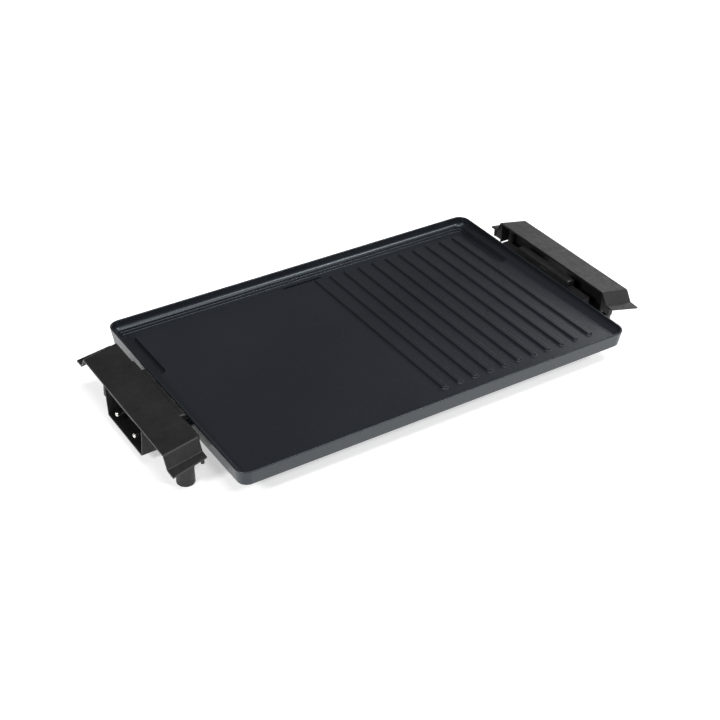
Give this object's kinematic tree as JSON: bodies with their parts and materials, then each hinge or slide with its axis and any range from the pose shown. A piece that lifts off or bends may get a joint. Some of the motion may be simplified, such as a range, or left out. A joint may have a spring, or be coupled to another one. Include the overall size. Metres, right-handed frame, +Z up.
{
  "type": "electric griddle",
  "caption": "Tabletop electric griddle: cast plate, half flat and half ribbed, rear drain, two side handles on feet and a plug-in thermostat socket.",
  "frame": {"origin": "on the table, under the middle of the plate", "axes": "+X to the right along the plate's length, +Y to the back where the drain is, +Z up; the socket is at -X"},
  "size_m": [0.5582, 0.293, 0.0539],
  "materials": {
    "coated_aluminium": "dark non-stick coating",
    "handle_plastic": "fine grained",
    "socket_plastic": "matt",
    "element_steel": "heat-stained tube",
    "zinc_steel": "zinc plated",
    "nickel": "nickel plated",
    "ceramic_white": "glazed ceramic, stored as hard plastic",
    "earth_brass": "tinned brass",
    "tray_enamel": "black enamel"
  },
  "bodies": {
    "griddle": {"griddle_plate": "coated_aluminium", "heating_element": "element_steel", "element_clamps": "zinc_steel", "element_clamp_screws": "zinc_steel", "terminal_pin_rear": "nickel", "terminal_pin_front": "nickel", "terminal_insulators": "ceramic_white", "probe_guide_tube": "zinc_steel", "socket_housing": "socket_plastic", "socket_screws": "zinc_steel", "earth_strip": "earth_brass", "earth_screw": "zinc_steel", "left_handle_bracket": "handle_plastic", "right_handle_bracket": "handle_plastic", "left_handle_cover": "handle_plastic", "right_handle_cover": "handle_plastic", "foot_front_left": "handle_plastic", "foot_rear_left": "handle_plastic", "foot_front_right": "handle_plastic", "foot_rear_right": "handle_plastic", "left_foot_screws": "zinc_steel", "right_foot_screws": "zinc_steel", "left_bracket_screws": "zinc_steel", "right_bracket_screws": "zinc_steel", "tray_rail_left": "zinc_steel", "tray_rail_right": "zinc_steel", "tray_rail_screws": "zinc_steel"},
    "tray": {"drip_tray": "tray_enamel"}
  },
  "joints": [
    {"name": "tray_slide", "type": "slide", "parent": "griddle", "child": "tray", "axis": [0, 1, 0], "range_m": [0, 0.12]}
  ]
}
